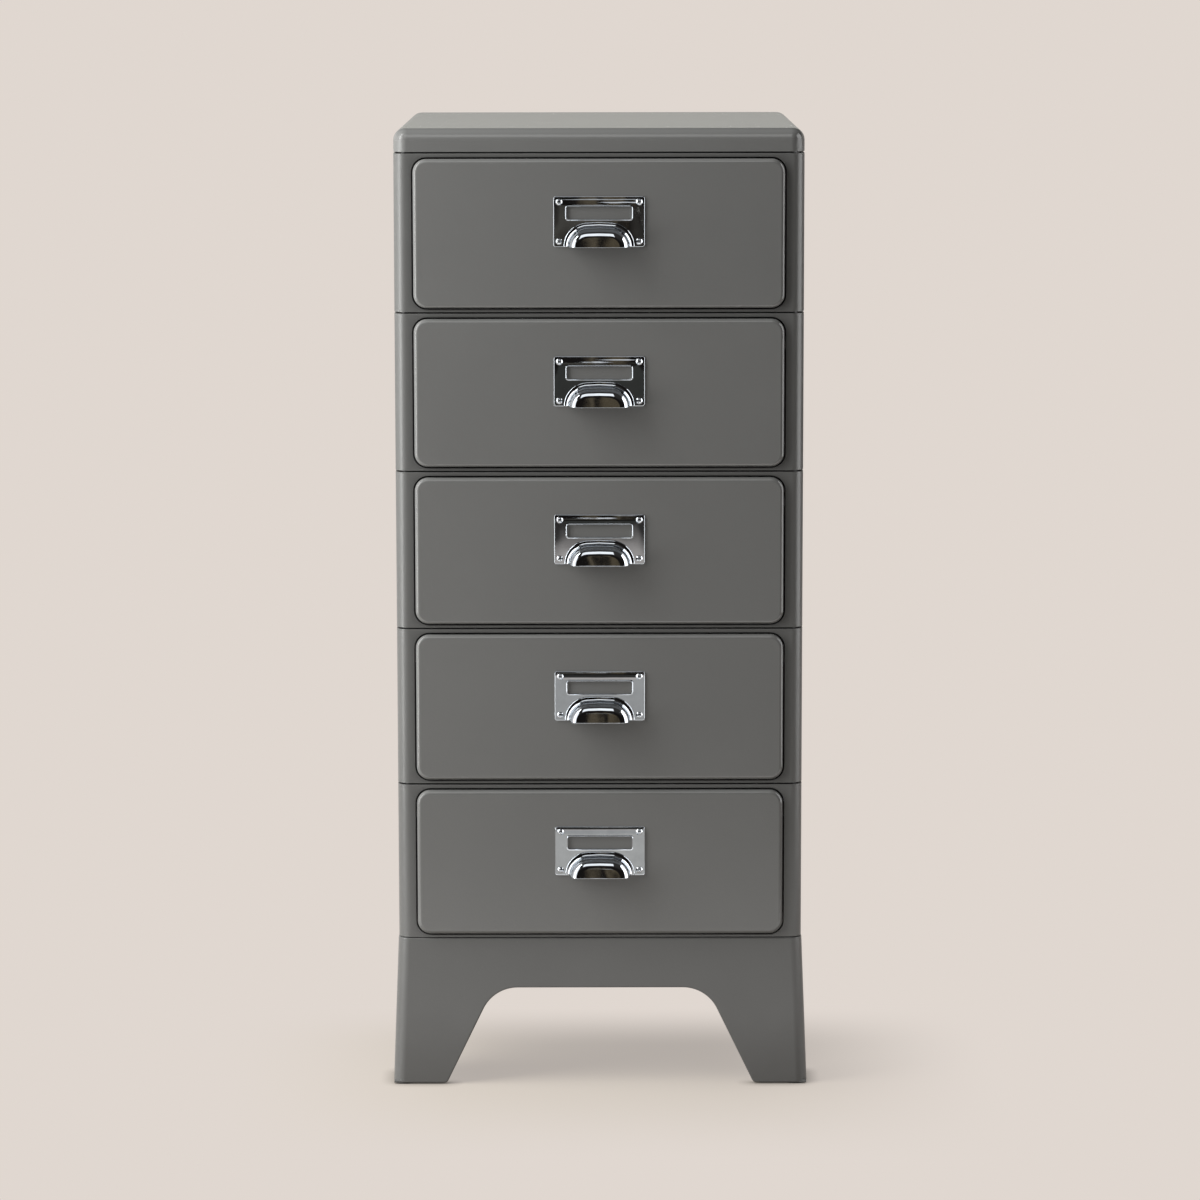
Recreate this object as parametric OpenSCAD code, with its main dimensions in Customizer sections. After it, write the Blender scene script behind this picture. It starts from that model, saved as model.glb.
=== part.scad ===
// Steel drawer cabinet: five stacked drawer housings under a pressed top cover, on a splayed leg base.
// Millimetres. Z = 0 is the floor, the fronts face -Y, and drawer 1 is the top one.
// The origin is the middle of the floor area that the whole cabinet covers, pulls included.

/* [Cabinet] */
// Width across the drawer housings
cabinet_w = 370; // [340:1:440]
// Depth from the housings' face to their back
cabinet_d = 410; // [380:1:480]
// Height of one drawer housing
housing_h = 143.8; // [130:0.1:180]
// Radius of the upright corners
corner_r = 11; // [9.5:0.5:14]
// Thickness of the housing, cover and drawer front sheet
sheet_t = 1; // [0.8:0.1:1.4]
// Inside radius of the bends along the seams
bend_r = 0.2; // [0.1:0.1:1]
// Width of the flanges that are bolted together
flange_w = 16; // [15:0.5:22]

/* [Top cover] */
// Height of the top cover
cover_h = 21.6; // [18:0.1:40]
// Radius of the cover's upper edge
cover_edge_r = 10.5; // [4:0.5:11]
// Radius of the cover's four upright corners
cover_r = 12.5; // [11.5:0.5:16]

/* [Drawer opening] */
// Width of the face beside each opening
stile_w = 16.5; // [15:0.5:24]
// Height of the face above each opening
head_h = 4.2; // [3.6:0.1:8]
// Height of the face below each opening
sill_h = 3.1; // [2.8:0.1:8]
// Distance from the return around each opening to the runners behind it
return_gap = 3.5; // [2:0.5:6]
// Gap between a drawer front and its opening
front_gap = 1.2; // [0.8:0.1:2]

/* [Back panel] */
// Thickness of the back panels
back_t = 0.8; // [0.6:0.1:1.5]
// Width that a back panel laps over its frame
back_lap = 10; // [5:0.5:10]

/* [Drawer front] */
// How far the fronts stand out of the housings' face
front_proud = 5; // [2:0.5:8]
// Depth of the pressed front from face to rear flange
front_d = 20; // [18:0.5:24]
// Corner radius of the front
front_r = 12.2; // [6:0.1:14]
// Radius of the edge around the front's face
front_edge_r = 3.8; // [2:0.1:5]
// Width of the flange around the front's rear
front_flange = 15; // [14.5:0.5:18]

/* [Drawer tray] */
// Thickness of the tray sheet
tray_t = 0.8; // [0.6:0.1:1.2]
// Corner radius of the tray
tray_r = 3.5; // [3:0.1:6]
// Inside radius of the bend around the tray's floor
tray_bend_r = 1.5; // [0.5:0.1:1.7]
// Height of the tray's underside above the opening's lower edge
tray_lift = 7; // [4:0.5:10]
// Space between the tray and the back of the cabinet
tray_back_gap = 17; // [8:0.5:25]
// Height of the turned-down edge of the tray's side rails
rail_edge_h = 8; // [6:0.5:8.2]

/* [Runners] */
// Thickness of the runner sheet
runner_t = 1.2; // [1:0.1:1.6]
// Inside height of the runner channel
channel_h = 14; // [13:0.5:18]
// Width of the channel's lips
channel_lip = 10; // [9:0.5:11]
// Distance from the opening's upper edge to the top of the runner
runner_drop = 13; // [11:0.5:18]
// Length of the runner's feet on the housing's side
runner_foot = 22; // [12:1:40]
// Running clearance between the sliding parts
slide_gap = 0.3; // [0.2:0.05:0.5]
// Clearance where a drawer stops against its runners
stop_gap = 0.5; // [0.3:0.1:1]
// Length of the nylon pad in the mouth of each runner
pad_l = 50; // [30:1:70]
// Height of the nylon pad
pad_h = 5.5; // [4:0.1:5.5]
// Length of the nylon glide at the rear of each rail
glide_l = 28; // [18:1:40]
// Distance from the tray's rear to the nylon glide
glide_inset = 9; // [6:0.5:20]
// Radius of the pegs that hold the pads and glides
peg_r = 1.8; // [1.2:0.1:1.9]

/* [Pull] */
// Width of the label plate
plate_w = 82; // [82:0.5:96]
// Height of the label plate
plate_h = 45.4; // [45:0.2:54]
// Thickness of the label plate
plate_t = 1.5; // [1:0.1:2]
// Corner radius of the label plate
plate_r = 2; // [1:0.1:4]
// Height of the plate's centre above the centre of the drawer front
plate_rise = 11; // [0:0.5:20]
// Width of the label window
window_w = 59; // [40:0.5:60]
// Height of the label window
window_h = 11.6; // [9:0.1:12]
// Height of the window's centre above the plate's centre
window_rise = 7.8; // [7.7:0.1:9]
// Width of the raised rim around the window
rim_w = 1; // [0.6:0.1:1.1]
// Height of the raised rim above the plate
rim_h = 0.6; // [0.3:0.1:1]
// Width of the cup pull over its flange
cup_w = 64; // [56:0.5:65]
// Height of the cup pull
cup_h = 22.2; // [20:0.1:22.3]
// How far the cup pull stands out of the plate
cup_d = 18; // [14:0.5:24]
// Thickness of the cup pull's sheet
cup_t = 1.2; // [0.8:0.1:1.5]
// Width of the flange around the cup
cup_flange = 4.6; // [3:0.1:5]
// Radius of the cup's shoulder
cup_shoulder_r = 6.2; // [3:0.1:7]
// Distance from the plate's lower edge up to the cup's mouth
cup_lift = 0.4; // [0.2:0.1:0.6]
// Distance of the pull's screws from the plate's edges
screw_inset = 5; // [4.5:0.1:5]
// Radius of the pull's screws
screw_r = 1.5; // [1:0.1:1.6]

/* [Leg base] */
// Height of the leg base, glides included
base_h = 136.6; // [120:0.1:200]
// Thickness of the base sheet
base_t = 1.5; // [1.2:0.1:2]
// How far the base stands out all round at its top edge
base_step = 0.5; // [0:0.1:1]
// How far each side of the base splays out at the floor
base_splay = 5.2; // [0.5:0.1:12]
// Height of the arches above the floor
arch_h = 90; // [60:1:105]
// Width of a foot at the floor
foot_w = 49; // [42:1:80]
// Lean of the arches' sides from the upright
arch_lean = 26; // [15:1:32]
// Radius of the arches' upper corners
arch_r = 35; // [10:1:40]
// Radius of the foot's inner corner
foot_r = 4; // [1:0.5:6]
// Depth of the return along the arches
arch_return = 9; // [4:0.5:12]
// Thickness of the nylon glides under the feet
glide_h = 1.2; // [0.8:0.1:4]
// Radius of the nylon glides under the feet
glide_r = 9; // [6:0.5:10]

/* [Fasteners] */
// Radius of the bolts that join the stack
bolt_r = 2.5; // [2:0.1:3]
// Distance of the bolts from the cabinet's face and back
bolt_inset = 50; // [30:1:90]
// How far threads and pegs stand out of what holds them
thread_end = 1; // [0.5:0.1:2]

/* [Hidden] */
$fn = 72;
drawer_count = 5;
numbers = [1 : drawer_count];

paint = "dimgray";
zinc = "silver";
nylon = "whitesmoke";
dark_nylon = "black";
chrome = "gainsboro";
reach = 1;        // how far a cutter runs past what it cuts
hole_gap = 0.05;  // clearance of a bolt, screw or peg in its nut or hole
hex_ratio = 1.85; // corner radius of a nut over the radius of its thread
nut_ratio = 1.6;  // height of a nut over the radius of its thread

// Housing and opening, from the housing's own underside
face_y = -cabinet_d / 2;
back_y = cabinet_d / 2;
wall_x = cabinet_w / 2 - sheet_t;
seam_r = bend_r + sheet_t;
opening_w = cabinet_w - 2 * stile_w;
opening_h = housing_h - head_h - sill_h;
opening_z = sill_h + opening_h / 2;
opening_r = front_r + front_gap;
return_d = front_d - front_proud + stop_gap - return_gap;

// Drawer front
front_w = opening_w - 2 * front_gap;
front_h = opening_h - 2 * front_gap;
front_y = face_y - front_proud;
rear_y = front_y + front_d;

// Runner channel: its web stands in line with the opening's edge
channel_x = opening_w / 2;
runner_h = channel_h + 2 * runner_t;
runner_top = sill_h + opening_h - runner_drop;
channel_z = runner_top - runner_t - channel_h;
runner_y0 = rear_y + stop_gap;
runner_y1 = back_y - tray_back_gap;

// Tray
tray_x = channel_x - channel_lip - front_gap;
tray_y0 = rear_y;
tray_y1 = back_y - tray_back_gap;
tray_z = sill_h + tray_lift;
tray_top = runner_top - runner_t - slide_gap;
tray_h = tray_top - tray_z;
rail_x = front_w / 2 - front_gap / 2;
glide_y1 = tray_y1 - glide_inset;
glide_y0 = glide_y1 - glide_l;
glide_z = channel_z + slide_gap;

// Pull
plate_z = opening_z + plate_rise;
plate_y = front_y - plate_t;
cup_z = plate_z - plate_h / 2 + cup_lift;
cup_c = cup_w / 2 - cup_h;
cup_body_r = cup_h - cup_flange;
cup_cove_r = cup_flange / 2;
head_r = 2 * screw_r;
head_t = screw_r;
screw_nut_t = nut_ratio * screw_r;
screw_hex_r = hex_ratio * screw_r;

// Stack bolts
bolt_x = cabinet_w / 2 - (flange_w + sheet_t) / 2;
bolt_y = cabinet_d / 2 - bolt_inset;
bolt_head_t = 1.4 * bolt_r;
nut_t = nut_ratio * bolt_r;
hex_r = hex_ratio * bolt_r;

// Leg base: four leaning panels and rolled corners, cut level at the top and at the sole
sole_z = glide_h;
base_run = base_h - sole_z;
base_top_w = cabinet_w + 2 * base_step;
base_top_d = cabinet_d + 2 * base_step;
base_low_w = base_top_w + 2 * base_splay;
base_low_d = base_top_d + 2 * base_splay;
splay = base_splay / base_run;
splay_angle = atan(splay);
slope = sqrt(1 + splay * splay);
sole_w = 2 * glide_r + base_t;
stem_r = glide_r / 3;

// The origin sits below the middle of the whole, from the cups' faces to the base's rear edge
front_reach = front_y - plate_t - cup_d;
back_reach = base_low_d / 2;
origin_y = (front_reach + back_reach) / 2;

function housing_z(i) = base_h + (drawer_count - i) * housing_h;
cover_z = base_h + drawer_count * housing_h;

// Moves a piece drawn about the middle of the housings into the cabinet's frame
module place(z = 0) {
    translate([0, -origin_y, z]) children();
}

// Extrudes an outline drawn in X and Z from y0 back to y1
module slab_y(y0, y1) {
    translate([0, y1, 0]) rotate([90, 0, 0]) linear_extrude(y1 - y0) children();
}

module round_rect(w, h, r) {
    square([w - 2 * r, h], center = true);
    square([w, h - 2 * r], center = true);
    for (sx = [-1, 1], sy = [-1, 1]) translate([sx * (w / 2 - r), sy * (h / 2 - r)]) circle(r);
}

// Rectangle from the axis out to r, with its two outer corners rounded
module rolled_block(r, h, low_r, top_r) {
    polygon([[0, 0], [r - low_r, 0], [r, low_r], [r, h - top_r], [r - top_r, h], [0, h]]);
    if (low_r > 0) translate([r - low_r, low_r]) mirror([0, 1]) quadrant(low_r);
    if (top_r > 0) translate([r - top_r, h - top_r]) quadrant(top_r);
}

module quadrant(r) {
    intersection() {
        circle(r);
        square(r);
    }
}

// Section of a sheet with a flange turned in at both ends; x runs out from the corner's axis
module channel_section(r, h, t, low_r, top_r) {
    difference() {
        rolled_block(r, h, low_r, top_r);
        translate([0, t]) rolled_block(r - t, h - 2 * t, low_r - t, top_r - t);
    }
}

// Carries a section round a rectangle w by d with corner radius r
module ring(w, d, r) {
    for (s = [0, 1]) mirror([s, 0, 0]) translate([w / 2 - r, 0, 0])
        rotate([90, 0, 0]) linear_extrude(d - 2 * r, center = true) children();
    for (s = [0, 1]) mirror([0, s, 0]) translate([0, r - d / 2, 0])
        rotate([90, 0, -90]) linear_extrude(w - 2 * r, center = true) children();
    for (k = [0 : 3]) {
        sx = (k == 0 || k == 3) ? 1 : -1;
        sy = k < 2 ? 1 : -1;
        translate([sx * (w / 2 - r), sy * (d / 2 - r), 0])
            rotate([0, 0, 90 * k]) rotate_extrude(angle = 90) children();
    }
}

// Flat frame inside a ring: it laps half of the ring's flat and runs in to the flange's free edge
module flange_frame(w, d, r, flange, t) {
    lap = (r - t) / 2;
    linear_extrude(t) difference() {
        square([w - 2 * r + 2 * lap, d - 2 * r + 2 * lap], center = true);
        square([w - 2 * flange, d - 2 * flange], center = true);
    }
}

// Flat sheet inside a ring, which laps half of the flat between the corner axes and the edge's bend
module field(w, d, r, edge_r, t) {
    lap = (r - edge_r) / 2;
    linear_extrude(t) square([w - 2 * r + 2 * lap, d - 2 * r + 2 * lap], center = true);
}

module each_bolt() {
    for (sx = [-1, 1], sy = [-1, 1]) translate([sx * bolt_x, sy * bolt_y, 0]) children();
}

// ---- Top cover ----

module top_cover() {
    color(paint) place(cover_z) difference() {
        union() {
            ring(cabinet_w, cabinet_d, cover_r)
                channel_section(cover_r, cover_h, sheet_t, seam_r, cover_edge_r);
            flange_frame(cabinet_w, cabinet_d, cover_r, flange_w, sheet_t);
            translate([0, 0, cover_h - sheet_t])
                field(cabinet_w, cabinet_d, cover_r, cover_edge_r, sheet_t);
        }
        each_bolt() translate([0, 0, -reach]) cylinder(r = bolt_r + hole_gap, h = sheet_t + 2 * reach);
    }
}

// ---- Drawer housings ----

module housing(i) {
    back_cut = corner_r + back_lap + sheet_t;
    color(paint) place(housing_z(i)) difference() {
        union() {
            ring(cabinet_w, cabinet_d, corner_r)
                channel_section(corner_r, housing_h, sheet_t, seam_r, seam_r);
            flange_frame(cabinet_w, cabinet_d, corner_r, flange_w, sheet_t);
            translate([0, 0, housing_h - sheet_t])
                flange_frame(cabinet_w, cabinet_d, corner_r, flange_w, sheet_t);
            translate([0, 0, opening_z]) slab_y(face_y + sheet_t / 2, face_y + return_d)
                round_rect(opening_w + 2 * sheet_t, opening_h + 2 * sheet_t, opening_r + sheet_t);
        }
        translate([0, 0, opening_z]) slab_y(face_y - reach, face_y + return_d + reach)
            round_rect(opening_w, opening_h, opening_r);
        translate([0, 0, housing_h / 2]) slab_y(back_y - 2 * sheet_t, back_y + reach)
            square([cabinet_w - 2 * back_cut, housing_h - 2 * (back_lap + seam_r + sheet_t)], center = true);
        for (z = [-reach, housing_h - sheet_t - reach])
            each_bolt() translate([0, 0, z]) cylinder(r = bolt_r + hole_gap, h = sheet_t + 2 * reach);
    }
}

module back_panel(i) {
    color(paint) place(housing_z(i) + housing_h / 2) slab_y(back_y - sheet_t - back_t, back_y - sheet_t)
        square([cabinet_w - 2 * (corner_r + sheet_t), housing_h - 2 * (seam_r + sheet_t)], center = true);
}

// ---- Runners ----

// One right-hand runner in its housing: a channel for the tray's rail, held off the side on two feet
module runner() {
    difference() {
        union() {
            translate([0, 0, channel_z - runner_t]) linear_extrude(runner_h) {
                translate([channel_x, runner_y0]) square([runner_t, runner_y1 - runner_y0]);
                for (y = [runner_y0, runner_y1 - runner_t])
                    translate([channel_x, y]) square([wall_x - channel_x, runner_t]);
                for (y = [runner_y0, runner_y1 - runner_foot])
                    translate([wall_x - runner_t, y]) square([runner_t, runner_foot]);
            }
            for (z = [channel_z - runner_t, channel_z + channel_h])
                translate([channel_x - channel_lip, runner_y0, z])
                    cube([channel_lip + runner_t / 2, runner_y1 - runner_y0, runner_t]);
        }
        pad_peg(hole_gap);
    }
}

// Peg of the nylon pad, through the runner's web
module pad_peg(grow = 0) {
    translate([channel_x - reach, runner_y0 + pad_l / 2, channel_z + pad_h / 2])
        rotate([0, 90, 0]) cylinder(r = peg_r + grow, h = reach + runner_t + thread_end);
}

module runner_left(i) { color(zinc) place(housing_z(i)) mirror([1, 0, 0]) runner(); }
module runner_right(i) { color(zinc) place(housing_z(i)) runner(); }

// Nylon pads in the runners' mouths: they carry the trays' rails and stop the glides
module runner_pads() {
    color(nylon) for (i = numbers, s = [0, 1]) place(housing_z(i)) mirror([s, 0, 0]) {
        translate([channel_x - channel_lip, runner_y0, channel_z])
            cube([channel_lip, pad_l, pad_h]);
        pad_peg();
    }
}

// ---- Drawers ----

module drawer_front(i) {
    color(paint) place(housing_z(i)) difference() {
        translate([0, rear_y, opening_z]) rotate([90, 0, 0]) {
            ring(front_w, front_h, front_r)
                channel_section(front_r, front_d, sheet_t, seam_r, front_edge_r);
            flange_frame(front_w, front_h, front_r, front_flange, sheet_t);
            translate([0, 0, front_d - sheet_t]) field(front_w, front_h, front_r, front_edge_r, sheet_t);
        }
        each_screw() slab_y(-reach, sheet_t + reach) circle(screw_r + hole_gap);
    }
}

module drawer_tray(i) {
    tray_mid = (tray_y0 + tray_y1) / 2;
    tray_d = tray_y1 - tray_y0;
    color(paint) place(housing_z(i)) difference() {
        union() {
            translate([0, tray_mid, tray_z]) {
                ring(2 * tray_x, tray_d, tray_r) difference() {
                    rolled_block(tray_r, tray_h, tray_bend_r + tray_t, 0);
                    translate([0, tray_t]) rolled_block(tray_r - tray_t, tray_h, tray_bend_r, 0);
                }
                field(2 * tray_x, tray_d, tray_r, tray_bend_r + tray_t, tray_t);
            }
            for (s = [0, 1]) mirror([s, 0, 0]) {
                translate([tray_x - tray_t, tray_y0 + tray_r, tray_top - tray_t])
                    cube([rail_x - tray_x + tray_t, tray_d - 2 * tray_r, tray_t]);
                translate([rail_x - tray_t, tray_y0 + tray_r, tray_top - rail_edge_h])
                    cube([tray_t, glide_y0 - slide_gap - tray_y0 - tray_r, rail_edge_h]);
            }
        }
        for (s = [0, 1]) mirror([s, 0, 0]) glide_peg(hole_gap);
    }
}

// Peg of the nylon glide, through the tray's side
module glide_peg(grow = 0) {
    translate([tray_x - tray_t - thread_end, (glide_y0 + glide_y1) / 2, channel_z + channel_h / 2])
        rotate([0, 90, 0]) cylinder(r = peg_r + grow, h = thread_end + tray_t + reach);
}

// Nylon glides under the rails' rear ends, on the channels' lower lips
module drawer_glides(i) {
    color(nylon) place(housing_z(i)) for (s = [0, 1]) mirror([s, 0, 0]) {
        translate([tray_x, glide_y0, glide_z])
            cube([channel_x - slide_gap - tray_x, glide_l, tray_top - tray_t - glide_z]);
        glide_peg();
    }
}

// ---- Pulls ----

// Places an item at each screw of the pull, with y = 0 on the drawer front's face
module each_screw() {
    for (sx = [-1, 1], sz = [-1, 1])
        translate([sx * (plate_w / 2 - screw_inset), front_y, plate_z + sz * (plate_h / 2 - screw_inset)])
            children();
}

module pull_plate(i) {
    color(chrome) place(housing_z(i)) difference() {
        union() {
            translate([0, 0, plate_z]) slab_y(plate_y, front_y) round_rect(plate_w, plate_h, plate_r);
            translate([0, 0, plate_z + window_rise]) slab_y(plate_y - rim_h, front_y - plate_t / 2)
                round_rect(window_w + 2 * rim_w, window_h + 2 * rim_w, 2 * rim_w);
        }
        translate([0, 0, plate_z + window_rise]) slab_y(plate_y - rim_h - reach, front_y + reach)
            round_rect(window_w, window_h, rim_w);
        each_screw() slab_y(-plate_t - reach, reach) circle(screw_r + hole_gap);
    }
}

// Section of the cup: x runs out from the mouth's axis, y out from the plate
module cup_section() {
    difference() {
        union() {
            square([cup_h, cup_t]);
            rolled_block(cup_body_r, cup_d, 0, cup_shoulder_r);
            translate([cup_body_r, 0]) difference() {
                square([cup_cove_r, cup_t + cup_cove_r]);
                translate([cup_cove_r, cup_t + cup_cove_r]) circle(cup_cove_r);
            }
        }
        translate([0, -cup_t]) rolled_block(cup_body_r - cup_t, cup_d, 0, cup_shoulder_r - cup_t);
    }
}

module cup_pull(i) {
    color(chrome) place(housing_z(i)) translate([0, plate_y, cup_z]) rotate([90, 0, 0]) {
        for (s = [0, 1]) mirror([s, 0, 0])
            translate([cup_c, 0, 0]) rotate_extrude(angle = 90) cup_section();
        translate([-cup_c, 0, 0]) rotate([90, 0, 90]) linear_extrude(2 * cup_c) cup_section();
    }
}

// Screw with a domed, cross-slotted head on the plate and a nut inside the drawer front
module pull_screws(i) {
    dome_r = (head_r * head_r + head_t * head_t) / (2 * head_t);
    slot = head_r / 4;
    color(chrome) place(housing_z(i)) each_screw() rotate([90, 0, 0]) {
        difference() {
            translate([0, 0, plate_t]) rotate_extrude() intersection() {
                translate([0, head_t - dome_r]) circle(dome_r);
                square([head_r, head_t]);
            }
            for (a = [0, 90]) rotate([0, 0, a]) translate([-head_r / 2, -slot / 2, plate_t + head_t / 2])
                cube([head_r, slot, head_t]);
        }
        translate([0, 0, -sheet_t - screw_nut_t - thread_end])
            cylinder(r = screw_r, h = thread_end + screw_nut_t + sheet_t + plate_t);
        translate([0, 0, -sheet_t - screw_nut_t]) linear_extrude(screw_nut_t) difference() {
            circle(screw_hex_r, $fn = 6);
            circle(screw_r + hole_gap);
        }
    }
}

// ---- Leg base ----

// Opening under one panel of the base, drawn with y = 0 at the floor; grow widens it into the metal,
// and without it the foot's lower corner is rounded off as well
module arch(low_w, grow = 0) {
    half_low = low_w / 2 - foot_w + grow / cos(arch_lean);
    top = arch_h + grow;
    half_top = half_low - top * tan(arch_lean);
    r = arch_r + grow;
    turn = 90 - arch_lean;
    run = r * tan(turn / 2);
    foot_run = foot_r * tan(turn / 2);
    foot_x = half_low - sole_z * tan(arch_lean);
    for (s = [0, 1]) mirror([s, 0]) {
        polygon([
            [-reach, -reach], [half_low + reach * tan(arch_lean), -reach],
            [half_top + run * sin(arch_lean), top - run * cos(arch_lean)],
            [half_top - run, top], [-reach, top]
        ]);
        translate([half_top - run, top - r]) circle(r);
        if (grow == 0) difference() {
            polygon([
                [foot_x, sole_z - reach], [foot_x + foot_run, sole_z - reach],
                [foot_x + foot_run, sole_z + foot_r],
                [foot_x - foot_run * sin(arch_lean), sole_z + foot_run * cos(arch_lean)]
            ]);
            translate([foot_x + foot_run, sole_z + foot_r]) circle(foot_r);
        }
    }
}

// One panel of the base, drawn flat: x along the panel, y up its slope, its outer face at z = 0
module base_panel(low_w) {
    edge = (1 / slope - 1) * corner_r;
    half = low_w / 2 - corner_r - edge;
    low = -2 * base_splay;
    high = base_run * slope + 2 * base_splay;
    lean = splay / slope;
    difference() {
        union() {
            translate([0, 0, -base_t]) linear_extrude(base_t) polygon([
                [-half + lean * low, low], [half - lean * low, low],
                [half - lean * high, high], [-half + lean * high, high]
            ]);
            translate([0, 0, -arch_return]) linear_extrude(arch_return - base_t / 2)
                intersection() {
                    translate([0, -sole_z]) arch(low_w, base_t);
                    translate([-half, low]) square([2 * half, arch_h + base_t - low]);
                }
        }
        translate([0, -sole_z, -arch_return - reach]) linear_extrude(arch_return + 2 * reach) arch(low_w);
    }
}

// Rolled corner about its own axis, with a strip inside the sheet across each joint with a panel
module rolled_corner(turn, h) {
    rotate_extrude(angle = turn) translate([corner_r - base_t, 0]) square([base_t, h]);
    for (a = [0, turn]) rotate([0, 0, a]) translate([corner_r - base_t / 2, 0, 0])
        translate([-base_t / 4, -base_t, 0]) cube([base_t / 2, 2 * base_t, h]);
}

module leg_base() {
    // Directions across two neighbouring panels and up their corner
    across_x = [1, 0, splay] / slope;
    across_y = [0, 1, splay] / slope;
    up = [-splay, -splay, 1] / sqrt(1 + 2 * splay * splay);
    side = cross(up, across_x);
    turn = acos(across_x * across_y);
    axis = [base_low_w / 2, base_low_d / 2, 0]
        - corner_r / (1 + across_x * across_y) * (across_x + across_y);
    color(paint) place(sole_z) difference() {
        union() {
            intersection() {
                union() {
                    for (s = [0, 1]) mirror([0, s, 0]) translate([0, -base_low_d / 2, 0])
                        rotate([90 - splay_angle, 0, 0]) base_panel(base_low_w);
                    for (s = [0, 1]) mirror([s, 0, 0]) translate([base_low_w / 2, 0, 0])
                        rotate([90, 0, 90]) rotate([-splay_angle, 0, 0]) base_panel(base_low_d);
                    for (sx = [0, 1], sy = [0, 1]) mirror([sx, 0, 0]) mirror([0, sy, 0])
                        multmatrix([for (k = [0 : 2]) [across_x[k], side[k], up[k], axis[k]]])
                            translate([0, 0, -corner_r]) rolled_corner(turn, base_run + 3 * corner_r);
                }
                translate([-base_low_w, -base_low_d, 0]) cube([2 * base_low_w, 2 * base_low_d, base_run]);
            }
            // Top flange, and a sole in each foot
            translate([0, 0, base_run - base_t]) linear_extrude(base_t) difference() {
                round_rect(base_top_w - base_t, base_top_d - base_t, corner_r - base_t / 2);
                square([base_top_w - 2 * flange_w, base_top_d - 2 * flange_w], center = true);
            }
            for (sx = [0, 1], sy = [0, 1]) mirror([sx, 0, 0]) mirror([0, sy, 0]) linear_extrude(base_t)
                intersection() {
                    round_rect(base_low_w - base_t, base_low_d - base_t, corner_r - base_t / 2);
                    translate([base_low_w / 2 - sole_w, base_low_d / 2 - sole_w]) square(sole_w);
                }
        }
        each_bolt() translate([0, 0, base_run - base_t - reach])
            cylinder(r = bolt_r + hole_gap, h = base_t + 2 * reach);
        each_foot() cylinder(r = stem_r + hole_gap, h = 2 * base_t, center = true);
    }
}

module each_foot() {
    for (sx = [-1, 1], sy = [-1, 1])
        translate([sx * (base_low_w / 2 - base_t - glide_r), sy * (base_low_d / 2 - base_t - glide_r), 0])
            children();
}

module foot_glides() {
    color(dark_nylon) place() each_foot() {
        cylinder(r = glide_r, h = glide_h);
        cylinder(r = stem_r, h = glide_h + base_t + thread_end);
    }
}

// ---- Fasteners of the stack ----

// Places an item at each bolt of each seam, with z = 0 at the seam and $grip the sheet below it
module each_seam() {
    for (k = [0 : drawer_count]) {
        $grip = k == 0 ? base_t : sheet_t;
        place(base_h + k * housing_h) each_bolt() children();
    }
}

module stack_bolts() {
    color(zinc) each_seam() {
        translate([0, 0, -$grip - bolt_head_t]) cylinder(r = hex_r, h = bolt_head_t, $fn = 6);
        translate([0, 0, -$grip]) cylinder(r = bolt_r, h = $grip + sheet_t + nut_t + thread_end);
    }
}

module stack_nuts() {
    color(zinc) each_seam() translate([0, 0, sheet_t]) linear_extrude(nut_t) difference() {
        circle(hex_r, $fn = 6);
        circle(bolt_r + hole_gap);
    }
}

top_cover();
leg_base();
foot_glides();
stack_bolts();
stack_nuts();
runner_pads();
for (i = numbers) {
    housing(i);
    back_panel(i);
    runner_left(i);
    runner_right(i);
    drawer_front(i);
    drawer_tray(i);
    drawer_glides(i);
    pull_plate(i);
    cup_pull(i);
    pull_screws(i);
}
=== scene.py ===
import bmesh
import bpy
from math import cos, pi, radians, sin, tan
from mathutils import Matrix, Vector


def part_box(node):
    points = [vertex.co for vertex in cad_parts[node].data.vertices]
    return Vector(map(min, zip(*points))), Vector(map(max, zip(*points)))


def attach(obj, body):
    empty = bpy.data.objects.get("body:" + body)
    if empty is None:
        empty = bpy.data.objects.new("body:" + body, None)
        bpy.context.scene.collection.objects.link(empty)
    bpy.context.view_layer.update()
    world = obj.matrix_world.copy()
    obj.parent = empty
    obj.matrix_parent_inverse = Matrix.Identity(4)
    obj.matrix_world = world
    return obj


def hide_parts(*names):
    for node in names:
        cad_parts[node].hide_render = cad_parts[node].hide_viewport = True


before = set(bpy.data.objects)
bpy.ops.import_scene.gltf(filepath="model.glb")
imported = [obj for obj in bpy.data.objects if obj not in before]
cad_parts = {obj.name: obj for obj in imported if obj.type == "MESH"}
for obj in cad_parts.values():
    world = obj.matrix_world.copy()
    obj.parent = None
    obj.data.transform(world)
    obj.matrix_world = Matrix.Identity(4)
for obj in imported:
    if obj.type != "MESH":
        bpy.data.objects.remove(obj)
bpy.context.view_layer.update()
scene = bpy.context.scene
drawerNumbers = range(1, 6)

# the frame's own sizes, in metres: x across, y from front to back, z up
housingBoxes = {i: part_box(f"housing_{i}") for i in drawerNumbers}
frontBoxes = {i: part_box(f"drawer_front_{i}") for i in drawerNumbers}
plateBoxes = {i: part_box(f"pull_plate_{i}") for i in drawerNumbers}
cupBoxes = {i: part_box(f"cup_pull_{i}") for i in drawerNumbers}
trayBoxes = {i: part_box(f"drawer_tray_{i}") for i in drawerNumbers}
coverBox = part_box("top_cover")
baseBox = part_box("leg_base")
cabinetWidth = coverBox[1].x - coverBox[0].x
cabinetDepth = coverBox[1].y - coverBox[0].y
middleY = (coverBox[0].y + coverBox[1].y) / 2
faceY = coverBox[0].y


# Mesh helpers

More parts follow.
